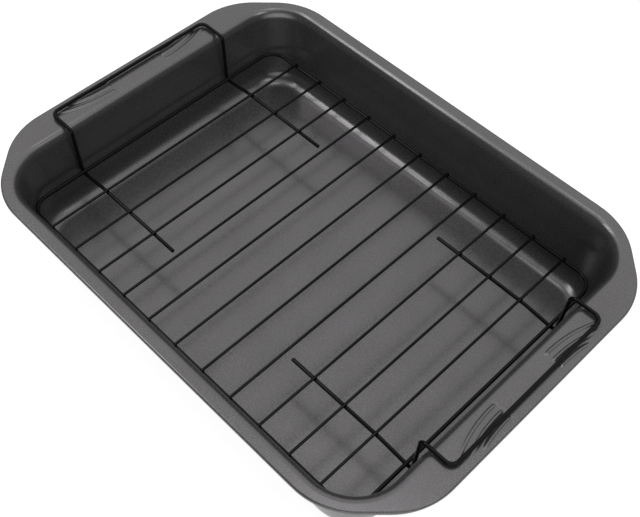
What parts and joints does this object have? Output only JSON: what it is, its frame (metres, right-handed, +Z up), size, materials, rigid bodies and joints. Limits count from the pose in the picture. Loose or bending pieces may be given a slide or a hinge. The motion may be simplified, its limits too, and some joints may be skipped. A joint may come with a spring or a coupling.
{
  "type": "roasting pan with rack",
  "caption": "Deep rectangular roasting pan with a wide ridged grip at each end and a wire grid rack that hangs inside from the grips and lifts out by its handle bars.",
  "frame": {"origin": "centre of the pan's base, on its underside", "axes": "+Z up, out of the pan's mouth; +X along the pan's length, towards one grip; +Y across the pan"},
  "size_m": [0.434, 0.318, 0.0769],
  "materials": {
    "pan_coating": "satin dark grey non-stick coating on pressed steel sheet",
    "rack_coating": "smooth near-black non-stick coating on steel wire"
  },
  "bodies": {
    "pan": {"pan": "pan_coating"},
    "rack": {"rack_frame_wire": "rack_coating", "rack_handle_left": "rack_coating", "rack_handle_right": "rack_coating", "rack_cross_wire_01": "rack_coating", "rack_cross_wire_02": "rack_coating", "rack_cross_wire_03": "rack_coating", "rack_cross_wire_04": "rack_coating", "rack_cross_wire_05": "rack_coating", "rack_cross_wire_06": "rack_coating", "rack_cross_wire_07": "rack_coating", "rack_cross_wire_08": "rack_coating", "rack_cross_wire_09": "rack_coating", "rack_cross_wire_10": "rack_coating", "rack_cross_wire_11": "rack_coating"}
  },
  "joints": [
    {"name": "rack_lift", "type": "slide", "parent": "pan", "child": "rack", "axis": [0, 0, 1], "range_m": [0, 0.1]}
  ]
}
